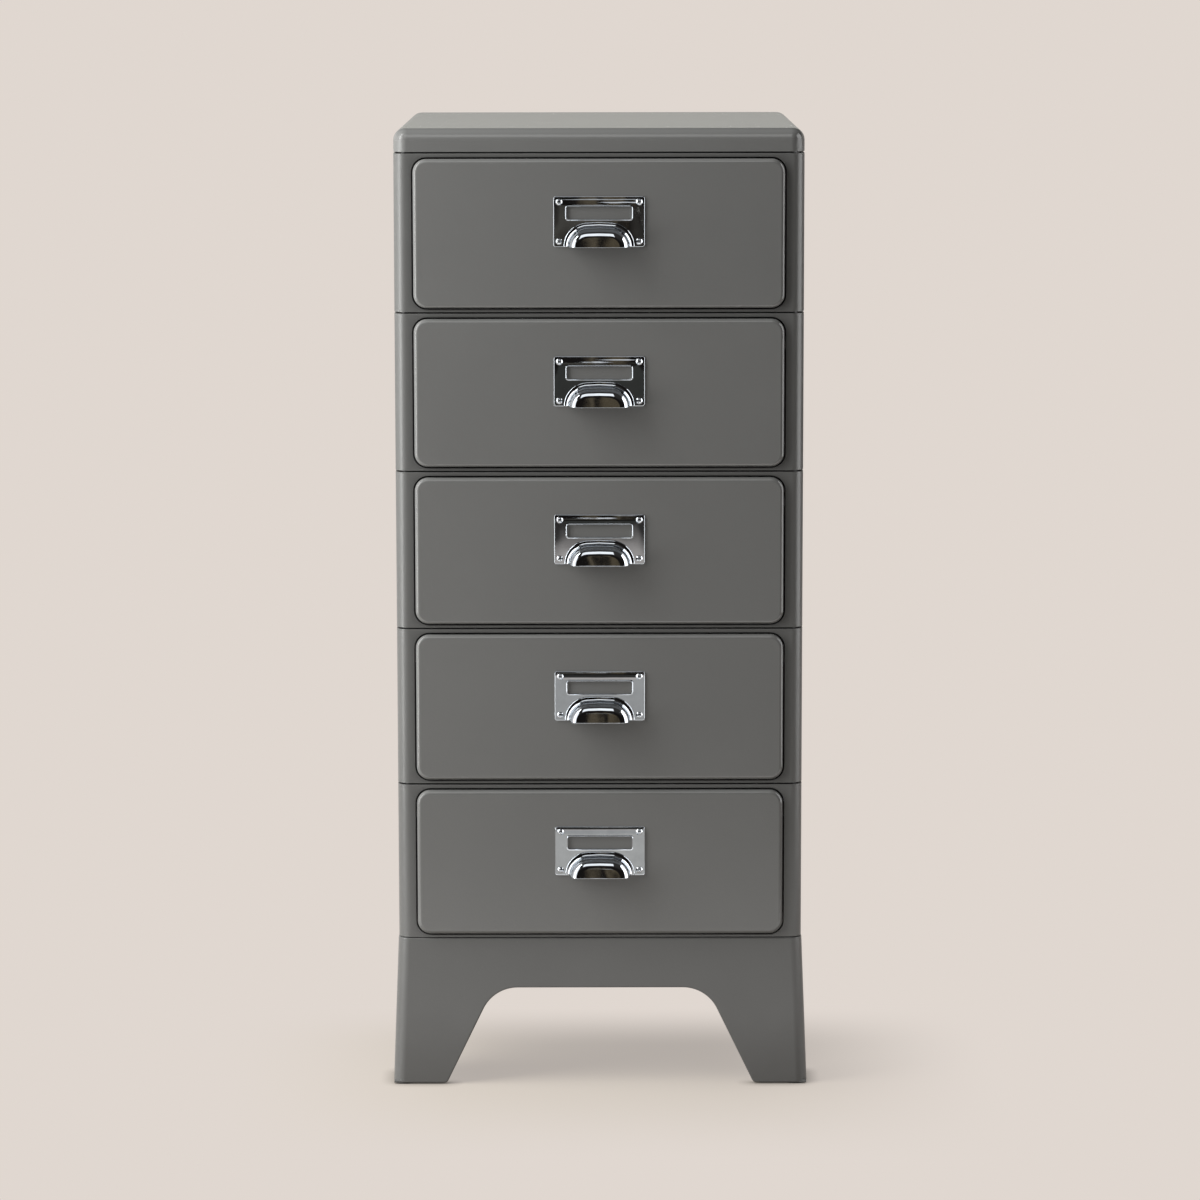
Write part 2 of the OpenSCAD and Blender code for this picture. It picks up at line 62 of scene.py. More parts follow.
def arc(centreX, centreY, radius, start, end, steps):
    # points on an arc, angles in degrees
    return [(centreX + radius * cos(radians(start + (end - start) * k / steps)),
             centreY + radius * sin(radians(start + (end - start) * k / steps))) for k in range(steps + 1)]


def roundedLoop(width, height, radius, steps):
    # rounded rectangle about the origin, anticlockwise from its right side; each corner has steps + 1 points
    points = []
    for corner, (sideX, sideY) in enumerate(((1, 1), (-1, 1), (-1, -1), (1, -1))):
        points += arc(sideX * (width / 2 - radius), sideY * (height / 2 - radius), radius,
                      90 * corner, 90 * corner + 90, steps)
    return points


def addLoop(mesh, points):
    return [mesh.verts.new(point) for point in points]


def bridge(mesh, first, second, skip=()):
    # quads between two closed loops; skip leaves out the quads that start at those points
    count = len(first)
    for k in range(count):
        if k not in skip:
            after = (k + 1) % count
            mesh.faces.new((first[k], first[after], second[after], second[k]))


def fillFrame(mesh, corners, hole, steps):
    # flat sheet from four corner points in to a rounded hole
    for corner in range(4):
        start = corner * (steps + 1)
        for k in range(start, start + steps):
            mesh.faces.new((corners[corner], hole[k], hole[k + 1]))
        after = (corner + 1) % 4
        mesh.faces.new((corners[corner], hole[start + steps], hole[after * (steps + 1)], corners[after]))


def sweepProfile(mesh, profile, loopAt, capFirst=True, capLast=True, skip=None):
    # one closed loop for each point of the profile, joined in turn
    loops = [addLoop(mesh, loopAt(*point)) for point in profile]
    for k in range(len(loops) - 1):
        bridge(mesh, loops[k], loops[k + 1], (skip or {}).get(k, ()))
    if capFirst:
        mesh.faces.new(loops[0])
    if capLast:
        mesh.faces.new(loops[-1])
    return loops


def addBox(mesh, low, high):
    corners = addLoop(mesh, [(x, y, z) for x in (low[0], high[0]) for y in (low[1], high[1])
                             for z in (low[2], high[2])])
    for face in ((0, 1, 3, 2), (4, 6, 7, 5), (0, 4, 5, 1), (2, 3, 7, 6), (0, 2, 6, 4), (1, 5, 7, 3)):
        mesh.faces.new([corners[k] for k in face])


def linkMesh(mesh, name):
    # makes the finished mesh an object of the scene
    data = bpy.data.meshes.new(name)
    mesh.to_mesh(data)
    mesh.free()
    piece = bpy.data.objects.new(name, data)
    scene.collection.objects.link(piece)
    return piece


finishSizes = {
    "mergeDistance": 1e-6, "shortestEdge": 1e-7, "sharpAngle": 38, "bevelSegments": 3, "bevelAngle": 50,
    "normalWeight": 60,
}


def finishPiece(mesh, name, material, sharpAngle=finishSizes["sharpAngle"], bevelWidth=0):
    # merges doubles, turns the faces outwards and shades the bends smoothly between flat faces
    size = finishSizes
    bmesh.ops.remove_doubles(mesh, verts=mesh.verts, dist=size["mergeDistance"])
    bmesh.ops.dissolve_degenerate(mesh, edges=mesh.edges, dist=size["shortestEdge"])
    bmesh.ops.recalc_face_normals(mesh, faces=mesh.faces)
    piece = linkMesh(mesh, name)
    piece.data.shade_smooth()
    if bevelWidth:
        bevel = piece.modifiers.new("edges", "BEVEL")
        bevel.width = bevelWidth
        bevel.segments = size["bevelSegments"]
        bevel.limit_method = "ANGLE"
        bevel.angle_limit = radians(size["bevelAngle"])
        bevel.use_clamp_overlap = False
    else:
        piece.data.set_sharp_from_angle(angle=radians(sharpAngle))
    weighted = piece.modifiers.new("normals", "WEIGHTED_NORMAL")
    weighted.keep_sharp = True
    weighted.weight = size["normalWeight"]
    piece.data.materials.append(material)
    return piece


def place(piece, body, slotName, *nodeNames):
    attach(piece, body)
    if nodeNames:
        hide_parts(*nodeNames)
    return piece


# Node helpers

class Tree:
    # a short way to write a node tree: add a node, set its values, link its inputs;
    # an input is given by its name, with _ for a space, or by its number, as in n6
    def __init__(self, tree):
        self.tree = tree

    def add(self, kind, settings=None, **inputs):
        node = self.tree.nodes.new(kind)
        for key, value in (settings or {}).items():
            setattr(node, key, value)
        for key, value in inputs.items():
            byNumber = key[0] == "n" and key[1:].isdigit()
            socket = node.inputs[int(key[1:]) if byNumber else key.replace("_", " ")]
            if isinstance(value, bpy.types.NodeSocket):
                self.link(value, socket)
            else:
                socket.default_value = value
        return node

    def link(self, output, socket):
        self.tree.links.new(output, socket)


def emptyMaterial(name):
    material = bpy.data.materials.new(name)
    material.use_nodes = True
    material.node_tree.nodes.clear()
    return material, Tree(material.node_tree)


def newMaterial(name, **values):
    # values are the shader's own settings, the same all over the surface
    material, tree = emptyMaterial(name)
    shader = tree.add("ShaderNodeBsdfPrincipled", **values)
    tree.add("ShaderNodeOutputMaterial", Surface=shader.outputs["BSDF"])
    return material, tree, shader, coordinates(tree)


def coordinates(tree):
    return tree.add("ShaderNodeTexCoord").outputs["Object"]


def attribute(tree, name):
    return tree.add("ShaderNodeAttribute", {"attribute_name": name}).outputs["Fac"]


def noise(tree, coords, scale, detail=3, roughness=0.55):
    node = tree.add("ShaderNodeTexNoise", Vector=coords, Scale=scale, Detail=detail, Roughness=roughness)
    return node.outputs["Fac"]


def spread(tree, value, low, high, fromLow=0.3, fromHigh=0.7):
    # maps a texture's middle range onto low..high
    node = tree.add("ShaderNodeMapRange", Value=value, From_Min=fromLow, From_Max=fromHigh,
                    To_Min=low, To_Max=high)
    return node.outputs["Result"]


def mixColours(tree, factor, first, second):
    node = tree.add("ShaderNodeMix", {"data_type": "RGBA"}, n0=factor, n6=first, n7=second)
    return node.outputs[2]


def bump(tree, height, distance, normal=None):
    node = tree.add("ShaderNodeBump", Height=height, Distance=distance, Strength=1)
    if normal:
        tree.link(normal, node.inputs["Normal"])
    return node.outputs["Normal"]


# Materials

paintLook = {
    # the edge colour is a painted highlight on the rounded edges, the gap colour is painted shade in seams and
    # gaps, and the shell depth is painted shade that darkens the housings and base
    "colour": (0.127, 0.128, 0.1245, 1), "paleColour": (0.135, 0.136, 0.132, 1),
    "dustColour": (0.20, 0.195, 0.185, 1), "edgeHighlightColour": (0.138, 0.139, 0.135, 1),
    "gapShadeColour": (0.025, 0.025, 0.025, 1), "shellShadeDepth": 0.80,
    "roughLow": 0.29, "roughHigh": 0.35, "edgeRough": 0.11, "roughScale": 24, "roughDetail": 5,
    "patchScale": 5, "patchDetail": 4,
    "speckScale": 900, "speckDetail": 2, "speckShare": 0.16, "speckStart": 0.62, "speckEnd": 0.8,
    "peelScale": 420, "peelDetail": 2, "peelHeight": 0.00006,
    "waveScale": 9, "waveDetail": 1, "waveHeight": 0.0002,
}


def makePaint(name, depth=1.0):
    # the attributes mark the smoother edges, painted a little paler as a painted highlight, and the dark gaps,
    # painted shade in seams and recesses; depth darkens the colour a little, as painted shade for a shaded copy
    # of the enamel
    look = paintLook
    material, tree, shader, coords = newMaterial(name, IOR=1.5)
    patches = noise(tree, coords, look["patchScale"], look["patchDetail"])
    plain, pale = ([level * depth for level in look[key][:3]] + [1] for key in ("colour", "paleColour"))
    colour = mixColours(tree, spread(tree, patches, 0, 1), plain, pale)
    specks = noise(tree, coords, look["speckScale"], look["speckDetail"])
    specks = spread(tree, specks, 0, look["speckShare"], look["speckStart"], look["speckEnd"])
    colour = mixColours(tree, specks, colour, look["dustColour"])
    edge = attribute(tree, "edge")
    colour = mixColours(tree, edge, colour, look["edgeHighlightColour"])
    colour = mixColours(tree, attribute(tree, "gap"), colour, look["gapShadeColour"])
    tree.link(colour, shader.inputs["Base Color"])
    rough = noise(tree, coords, look["roughScale"], look["roughDetail"])
    rough = spread(tree, rough, look["roughLow"], look["roughHigh"])
    smoothed = tree.add("ShaderNodeMapRange", Value=edge, To_Min=rough, To_Max=look["edgeRough"])
    tree.link(smoothed.outputs["Result"], shader.inputs["Roughness"])
    peel = bump(tree, noise(tree, coords, look["peelScale"], look["peelDetail"]), look["peelHeight"])
    wave = bump(tree, noise(tree, coords, look["waveScale"], look["waveDetail"]), look["waveHeight"], peel)
    tree.link(wave, shader.inputs["Normal"])
    return material


chromeLook = {
    "colour": (0.50, 0.53, 0.565, 1), "hazeColour": (0.43, 0.455, 0.485, 1),
    "roughLow": 0.012, "roughHigh": 0.03, "roughRange": (0.35, 0.8),
    "hazeScale": 60, "hazeDetail": 6, "hazeRoughness": 0.65, "hazeRange": (0.4, 0.75),
    "rippleScale": 38, "rippleDetail": 1, "rippleHeight": 0.00005,
    "scratchScale": 260, "scratchHeight": 0.0000008, "scratchStretch": (1, 1, 14),
}


def makeChrome():
    look = chromeLook
    material, tree, shader, coords = newMaterial("polishedChrome", Metallic=1)
    haze = noise(tree, coords, look["hazeScale"], look["hazeDetail"], look["hazeRoughness"])
    colour = mixColours(tree, spread(tree, haze, 0, 1, *look["hazeRange"]), look["colour"], look["hazeColour"])
    tree.link(colour, shader.inputs["Base Color"])
    rough = spread(tree, haze, look["roughLow"], look["roughHigh"], *look["roughRange"])
    tree.link(rough, shader.inputs["Roughness"])
    stretched = tree.add("ShaderNodeMapping", Vector=coords, Scale=look["scratchStretch"]).outputs["Vector"]
    scratches = bump(tree, noise(tree, stretched, look["scratchScale"]), look["scratchHeight"])
    ripple = noise(tree, coords, look["rippleScale"], look["rippleDetail"])
    tree.link(bump(tree, ripple, look["rippleHeight"], scratches), shader.inputs["Normal"])
    return material


zincLook = {
    "colour": (0.46, 0.47, 0.48, 1), "brightColour": (0.62, 0.63, 0.64, 1), "roughLow": 0.28, "roughHigh": 0.5,
    "flakeScale": 160, "grainScale": 900, "grainHeight": 0.00002,
}


def makeZinc():
    look = zincLook
    material, tree, shader, coords = newMaterial("zincPlate", Metallic=1)
    flakes = tree.add("ShaderNodeTexVoronoi", Vector=coords, Scale=look["flakeScale"]).outputs["Color"]
    flake = tree.add("ShaderNodeSeparateColor", n0=flakes).outputs[0]
    tree.link(mixColours(tree, flake, look["colour"], look["brightColour"]), shader.inputs["Base Color"])
    tree.link(spread(tree, flake, look["roughLow"], look["roughHigh"], 0, 1), shader.inputs["Roughness"])
    tree.link(bump(tree, noise(tree, coords, look["grainScale"]), look["grainHeight"]), shader.inputs["Normal"])
    return material


nylonLook = {
    "white": ((0.76, 0.75, 0.70, 1), (0.68, 0.67, 0.61, 1)),
    "black": ((0.025, 0.025, 0.026, 1), (0.04, 0.04, 0.04, 1)),
    "roughLow": 0.42, "roughHigh": 0.58, "mottleScale": 70, "mottleDetail": 4,
    "grainScale": 1500, "grainHeight": 0.00003,
}


def makeNylon(shadeName):
    look = nylonLook
    material, tree, shader, coords = newMaterial(f"{shadeName}Nylon")
    mottle = noise(tree, coords, look["mottleScale"], look["mottleDetail"])
    tree.link(mixColours(tree, spread(tree, mottle, 0, 1), *look[shadeName]), shader.inputs["Base Color"])
    tree.link(spread(tree, mottle, look["roughLow"], look["roughHigh"]), shader.inputs["Roughness"])
    tree.link(bump(tree, noise(tree, coords, look["grainScale"]), look["grainHeight"]), shader.inputs["Normal"])
    return material


paint = makePaint("greyEnamel")
# a darker, shaded copy of the same enamel for the housings and the leg base: painted shade
shadedShellPaint = makePaint("greyEnamelShadedShell", paintLook["shellShadeDepth"])
chrome = makeChrome()
zinc = makeZinc()
nylon = makeNylon("white")
darkNylon = makeNylon("black")
print("materials made")


# Stage: floor, background, studio

stageLook = {
    "background": (0.745, 0.680, 0.631, 1), "ambient": (1.0, 0.99, 0.975, 1), "ambientLevel": 0.385,
    "floorLit": (0.425, 0.384, 0.319, 1), "floorBounce": (0.36, 0.335, 0.315, 1), "shadowShare": 0.42,
    "shadowSide": (0.10, 0.38), "shadowBehind": (-0.06, 0.11), "shadowAhead": (-0.18, -0.48),
    # the contact shadow is painted into the floor's glow
    "contactShadowReach": 0.014, "contactShadowColour": (0.05, 0.045, 0.04, 1), "contactShadowSamples": 8,
    "floorRadius": 4.4, "floorFade": 0.8,
}


def seenRays(tree):
    # 1 for camera, glossy and transmission rays, so that metal shows the background too
    rays = tree.add("ShaderNodeLightPath").outputs
    either = calculate(tree, "MAXIMUM", rays["Is Camera Ray"], rays["Is Glossy Ray"])
    return calculate(tree, "MAXIMUM", either, rays["Is Transmission Ray"])


def makeWorld():
    world = bpy.data.worlds.new("studio")
    world.use_nodes = True
    world.node_tree.nodes.clear()
    tree = Tree(world.node_tree)
    light = tree.add("ShaderNodeBackground", Color=stageLook["ambient"], Strength=stageLook["ambientLevel"])
    seen = tree.add("ShaderNodeBackground", Color=stageLook["background"], Strength=1)
    mixed = tree.add("ShaderNodeMixShader", n0=seenRays(tree), n1=light.outputs[0], n2=seen.outputs[0])
    tree.add("ShaderNodeOutputWorld", Surface=mixed.outputs[0])
    scene.world = world


def stageSheet(name, *faces):
    mesh = bmesh.new()
    for corners in faces:
        mesh.faces.new(addLoop(mesh, corners))
    return linkMesh(mesh, name)


def circle(radius, steps):
    return arc(0, 0, radius, 0, 360 - 360 / steps, steps - 1)


def stageDisc(name, radius, z, steps=96):
    return stageSheet(name, [(x, y, z) for x, y in circle(radius, steps)])


def smooth(tree, value, low, high):
    # 1 at low, falling smoothly to 0 at high
    node = tree.add("ShaderNodeMapRange", {"interpolation_type": "SMOOTHSTEP"}, Value=value,
                    From_Min=low, From_Max=high, To_Min=1, To_Max=0)
    return node.outputs["Result"]


def calculate(tree, operation, *values):
    inputs = {f"n{k}": value for k, value in enumerate(values)}
    return tree.add("ShaderNodeMath", {"operation": operation}, **inputs).outputs[0]


def distanceFromMiddle(tree, coords):
    return tree.add("ShaderNodeVectorMath", {"operation": "LENGTH"}, n0=coords).outputs["Value"]


def stageMaterial(name):
    # glows without lighting anything
    material, tree = emptyMaterial(name)
    material.cycles.emission_sampling = "NONE"
    return material, tree


def makeFloor():
    # the pale floor keeps the cabinet's shadow close by and runs into the background further out
    look = stageLook
    material, tree = stageMaterial("paleFloor")
    coords = coordinates(tree)
    x, y = tree.add("ShaderNodeSeparateXYZ", n0=coords).outputs[:2]
    share = calculate(tree, "MULTIPLY", smooth(tree, calculate(tree, "ABSOLUTE", x), *look["shadowSide"]),
                      smooth(tree, y, *look["shadowBehind"]))
    share = calculate(tree, "MULTIPLY", share, smooth(tree, y, *look["shadowAhead"]))
    share = calculate(tree, "MULTIPLY", share, look["shadowShare"])
    seen = seenRays(tree)
    colour = mixColours(tree, seen, look["floorBounce"], look["floorLit"])
    diffuse = tree.add("ShaderNodeBsdfDiffuse", Color=colour)
    # painted contact shadow: the floor's pale glow darkens where the cabinet stands close
    contactShade = tree.add("ShaderNodeAmbientOcclusion", {"samples": look["contactShadowSamples"]},
                       Distance=look["contactShadowReach"]).outputs["AO"]
    pale = mixColours(tree, contactShade, look["contactShadowColour"], look["background"])
    glow = tree.add("ShaderNodeEmission", Color=pale, Strength=1)
    glowShare = calculate(tree, "MULTIPLY", calculate(tree, "SUBTRACT", 1.0, share), seen)
    lit = tree.add("ShaderNodeMixShader", n0=glowShare, n1=diffuse.outputs[0], n2=glow.outputs[0])
    edge = smooth(tree, distanceFromMiddle(tree, coords),
                  look["floorRadius"], look["floorRadius"] - look["floorFade"])
    clear = tree.add("ShaderNodeBsdfTransparent")
    faded = tree.add("ShaderNodeMixShader", n0=edge, n1=lit.outputs[0], n2=clear.outputs[0])
    tree.add("ShaderNodeOutputMaterial", Surface=faded.outputs[0])
    floor = stageDisc("floor", look["floorRadius"], 0)
    floor.data.materials.append(material)


# these panels, cards and sheets glow without lighting anything and only reflections show them: painted
# reflections and highlights in the chrome and paint
studioLook = {  # dark panels around the camera, which only gloss and chrome show, and pale cards and sheets
    "near": (0.05, 0.046, 0.043, 1), "far": (0.014, 0.012, 0.011, 1), "nearDistance": 4.4, "farDistance": 8.5,
    "halfWidth": 6, "wallY": -9, "sideEnd": -2.3, "ground": -0.02, "ceiling": 3.4, "ceilingEnd": -1.0,
    "groundRadius": 14, "cardGap": 0.01, "cardSteps": 24,
    "patch": (-0.26, 0.26, 0.13, 0.37),  # x and z of the patchy panel
    "patchDark": (0.016, 0.014, 0.012, 1), "patchPale": (0.10, 0.092, 0.078, 1),
    "patchScale": 9, "patchDetail": 4, "patchRoughness": 0.6, "patchRange": (0.4, 0.62),
    "cards": (  # x, z, width, height, colour
        (-0.017, 0.45, 0.080, 0.30, (1.1, 1.1, 1.1, 1)),
        (0.111, 0.3026, 0.019, 0.009, (0.75, 0.70, 0.62, 1)),
        (0.04, 0.330, 0.042, 0.012, (0.32, 0.20, 0.17, 1)),
        (-0.026, 1.8, 0.034, 3.4, (0.15, 0.12, 0.08, 1)),
        (0.047, 1.8, 0.044, 3.4, (0.14, 0.11, 0.07, 1)),
        (0.01, 1.42, 0.26, 0.16, (0.7, 0.7, 0.7, 1)),
        (0.055, 0.89, 0.09, 0.22, (1.0, 1.0, 1.0, 1)),
    ),
    "sheets": {  # the ends of the first edge, those of the opposite edge, colour
        "keySheet": ((-1.30, -0.70, 0.05), (-1.17, -0.92, 0.05), (-1.17, -0.92, 2.45), (-1.30, -0.70, 2.45),
                     (10.0, 10.0, 9.8, 1)),
        "leftSheet": ((-1.7, -2.2, 0), (-1.7, -0.3, 0), (-1.7, -0.3, 2.2), (-1.7, -2.2, 2.2),
                      (1.7, 1.7, 1.7, 1)),
        "rightSheet": ((1.7, -1.2, 0), (1.7, 0.1, 0), (1.7, 0.1, 2.2), (1.7, -1.2, 2.2), (4.2, 4.2, 4.2, 1)),
        # glowing sheets at floor level, seen only in reflections: painted reflections of the floor and painted
        # highlights on lower edges
        "farFloor": ((-1.3, -7.9, -0.01), (1.3, -7.9, -0.01), (1.3, -5.5, -0.01), (-1.3, -5.5, -0.01),
                     (0.058, 0.058, 0.052, 1)),
        "midFloor": ((-1.0, -3.2, 0.001), (1.0, -3.2, 0.001), (1.0, -1.75, 0.001), (-1.0, -1.75, 0.001),
                     (0.572, 0.559, 0.536, 1)),
        "nearFloor": ((-1.0, -1.75, 0.001), (1.0, -1.75, 0.001), (1.0, -0.85, 0.001), (-1.0, -0.85, 0.001),
                      (0.697, 0.675, 0.634, 1)),
        "groundSheet": ((-0.9, -0.80, 0.001), (0.9, -0.80, 0.001), (0.9, -0.42, 0.001), (-0.9, -0.42, 0.001),
                        (2.4, 2.35, 2.3, 1)),
        "frontSheet": ((-1.1, -2.7, 2.3), (0.5, -2.7, 2.3), (0.5, -1.75, 3.05), (-1.1, -1.75, 3.05),
                       (1.75, 1.75, 1.75, 1)),
        "overSheet": ((-6, -1.0, 3.4), (6, -1.0, 3.4), (6, 0.9, 3.4), (-6, 0.9, 3.4), (0.16, 0.16, 0.16, 1)),
        "behindSheet": ((-6, 0.9, 3.4), (6, 0.9, 3.4), (6, 4.0, 3.4), (-6, 4.0, 3.4), (0.04, 0.04, 0.04, 1)),
        "upperSheet": ((-2.5, 4, 2.45), (2.5, 4, 2.45), (2.5, 4, 3.4), (-2.5, 4, 3.4), (0.04, 0.04, 0.04, 1)),
        "backSheet": ((-2.5, 4, 0.85), (2.5, 4, 0.85), (2.5, 4, 2.45), (-2.5, 4, 2.45), (0.50, 0.495, 0.46, 1)),
    },
}


def glossOnly(piece, material):
    piece.data.materials.append(material)
    for ray in ("camera", "diffuse", "transmission", "volume_scatter", "shadow"):
        setattr(piece, f"visible_{ray}", False)


def addGlow(tree, colour):
    glow = tree.add("ShaderNodeEmission", Color=colour, Strength=1)
    tree.add("ShaderNodeOutputMaterial", Surface=glow.outputs[0])


def glowMaterial(name, colour):
    material, tree = stageMaterial(name)
    addGlow(tree, colour)
    return material


def darkMaterial():
    look = studioLook
    material, tree = stageMaterial("studioDark")
    share = smooth(tree, distanceFromMiddle(tree, coordinates(tree)), look["nearDistance"], look["farDistance"])
    addGlow(tree, mixColours(tree, share, look["far"], look["near"]))
    return material


def patchMaterial():
    look = studioLook
    material, tree = stageMaterial("patches")
    flecks = noise(tree, coordinates(tree), look["patchScale"], look["patchDetail"], look["patchRoughness"])
    share = spread(tree, flecks, 0, 1, *look["patchRange"])
    addGlow(tree, mixColours(tree, share, look["patchDark"], look["patchPale"]))
    return material


def makeStudio():
    look = studioLook
    dark = darkMaterial()
    wall, side, end, low, top = (look[key] for key in ("wallY", "sideEnd", "ceilingEnd", "ground", "ceiling"))
    left, right = -look["halfWidth"], look["halfWidth"]
    glossOnly(stageDisc("studioGround", look["groundRadius"], low), dark)
    walls = stageSheet(
        "studioWalls",
        [(left, wall, low), (right, wall, low), (right, wall, top), (left, wall, top)],
        [(left, wall, low), (left, side, low), (left, side, top), (left, wall, top)],
        [(right, wall, low), (right, side, low), (right, side, top), (right, wall, top)],
        [(left, wall, top), (right, wall, top), (right, end, top), (left, end, top)])
    glossOnly(walls, dark)
    x0, x1, z0, z1 = look["patch"]
    y = wall + look["cardGap"]
    patch = stageSheet("patchSheet", [(x0, y, z0), (x1, y, z0), (x1, y, z1), (x0, y, z1)])
    glossOnly(patch, patchMaterial())
    for name, (*corners, colour) in look["sheets"].items():
        glossOnly(stageSheet(name, corners), glowMaterial(name, colour))
    for k, (x, z, width, height, colour) in enumerate(look["cards"]):
        y = wall + (k + 2) * look["cardGap"]  # each card stands a little in front of the one before
        outline = [(x + width / 2 * u, y, z + height / 2 * v) for u, v in circle(1, look["cardSteps"])]
        glossOnly(stageSheet(f"card{k}", outline), glowMaterial(f"card{k}", colour))


lampLook = {  # glow is the brightness of the soft box itself, where 1 is white
    "key": {"at": (-1.14, -0.49, 1.3), "aim": (0, -0.2, 1.0), "size": (0.95, 2.3), "glow": 9.5},
    "fill": {"at": (1.5, -0.46, 1.1), "aim": (0, -0.2, 1.0), "size": (0.4, 2.0), "glow": 0.5},
}


def makeLamps():
    for name, look in lampLook.items():
        light = bpy.data.lights.new(name, "AREA")
        light.shape = "RECTANGLE"
        light.size, light.size_y = look["size"]
        light.energy = look["glow"] * pi * light.size * light.size_y
        lamp = bpy.data.objects.new(name, light)
        lamp.location = look["at"]
        lamp.rotation_euler = (Vector(look["aim"]) - Vector(look["at"])).to_track_quat("-Z", "Y").to_euler()
        lamp.visible_camera = False
        lamp.visible_glossy = False
        scene.collection.objects.link(lamp)


cameraLook = {
    "distance": 4.081, "height": 1.039, "sideways": 0.00125, "pitch": -8.21, "roll": 0.085,
    "lens": 136.0, "sensor": 36,
}


def makeCamera():
    look = cameraLook
    data = bpy.data.cameras.new("camera")
    data.sensor_width = look["sensor"]
    data.lens = look["lens"]
    camera = bpy.data.objects.new("camera", data)
    camera.location = (look["sideways"], faceY - look["distance"], look["height"])
    camera.rotation_euler = (radians(90 + look["pitch"]), radians(look["roll"]), 0)
    scene.collection.objects.link(camera)
    scene.camera = camera


makeWorld()
makeFloor()
makeStudio()
makeLamps()
makeCamera()
scene.view_settings.view_transform = "Standard"
print("stage, lamps and camera made")


# Pressed pans: the top cover and the drawer fronts

roundSteps = 7
seamSteps = 4


def panProfile(height, size):
    # (inset from the wall, height above the open side) from the top round over the seam to the inside
    sheet, radius, flange = size["sheet"], size["edgeRadius"], size["flange"]
    outer = [(radius - x, height - radius + y) for x, y in arc(0, 0, radius, 90, 0, roundSteps)]
    outer += seamProfile(*size["seam"])
    inner = [(flange, 0), (flange, sheet), (sheet, sheet)]
    inner += [(radius - x, height - radius + y) for x, y in arc(0, 0, radius - sheet, 0, 90, roundSteps)]
    return outer + inner


def seamProfile(radius, gap, depth):
    # the wall's lower edge: a small round, then in over a shallow step to the flange on its neighbour
    edge = [(radius - x, gap + radius + y) for x, y in arc(0, 0, radius, 0, -90, seamSteps)]
    return edge + [(depth, gap), (depth, 0)]


def seamStep(loops, start):
    # the two loops of the shallow step in a seam whose first loop is number start
    return loops[start + seamSteps + 1:start + seamSteps + 3]


def flatLoopAt(width, depth, radius, steps, low):
    # loops of a piece that lies flat: inset from its outline, height above low
    def loopAt(inset, height):
        points = roundedLoop(width - 2 * inset, depth - 2 * inset, max(radius - inset, 0), steps)
        return [(x, middleY + y, low + height) for x, y in points]
    return loopAt


def frontLoopAt(width, height, radius, steps, rearY, middleZ):
    # loops of a piece that faces the front: inset from its outline, height towards the front from rearY
    def loopAt(inset, out):
        points = roundedLoop(width - 2 * inset, height - 2 * inset, max(radius - inset, 0), steps)
        return [(x, rearY - out, middleZ + z) for x, z in points]
    return loopAt


def markLayers(mesh):
    return mesh.verts.layers.float.new("edge"), mesh.verts.layers.float.new("gap")


def markLoops(layer, loops, share=1):
    # marks the smoother edges of a pan, for a painted highlight, or the depths of a seam, for painted shade, in
    # the paint
    for point in sum(loops, []):
        point[layer] = share


coverSizes = {
    "sheet": 0.001, "cornerRadius": 0.0125, "edgeRadius": 0.0105, "flange": 0.016,
    "seam": (0.0003, 0.0007, 0.005), "steps": 10, "edgeShare": 0.8,
}


def makeTopCover():
    size = coverSizes
    low, high = coverBox
    mesh = bmesh.new()
    edge, gap = markLayers(mesh)
    loopAt = flatLoopAt(cabinetWidth, cabinetDepth, size["cornerRadius"], size["steps"], low.z)
    loops = sweepProfile(mesh, panProfile(high.z - low.z, size), loopAt)
    # the rounded edge gets a painted highlight, the seam's shallow step painted shade
    markLoops(edge, loops[:roundSteps], size["edgeShare"])
    markLoops(gap, seamStep(loops, roundSteps + 1))
    place(finishPiece(mesh, "topCover", paint), "cabinet", "paint", "top_cover")


frontSizes = {
    "sheet": 0.001, "cornerRadius": 0.0122, "edgeRadius": 0.0038, "flange": 0.015,
    "seam": (0.001, 0.0001, 0.002), "steps": 9, "gapShadeShare": 0.6,
}


def makeDrawerFront(i):
    size = frontSizes
    low, high = frontBoxes[i]
    mesh = bmesh.new()
    edge, gap = markLayers(mesh)
    loopAt = frontLoopAt(high.x - low.x, high.z - low.z, size["cornerRadius"], size["steps"],
                         high.y, (low.z + high.z) / 2)
    loops = sweepProfile(mesh, panProfile(high.y - low.y, size), loopAt)
    # the rounded edge gets a painted highlight, the walls behind it painted shade
    markLoops(edge, loops[1:roundSteps + 1])
    markLoops(gap, loops[roundSteps + 1:roundSteps + 3], size["gapShadeShare"])
    place(finishPiece(mesh, f"drawerFront{i}", paint), f"drawer_{i}", "paint", f"drawer_front_{i}")


# Drawer housings

housingSizes = {
    "sheet": 0.001, "cornerRadius": 0.011, "seam": (0.0003, 0.0007, 0.005), "flange": 0.016, "steps": 10,
    "frontGap": 0.0012, "openingBend": 0.0006, "bendSteps": 3, "bendShadeShare": 0.35, "returnDepth": 0.012,
    "backLap": 0.010, "seamBend": 0.0012, "backCorner": 0.002,
}


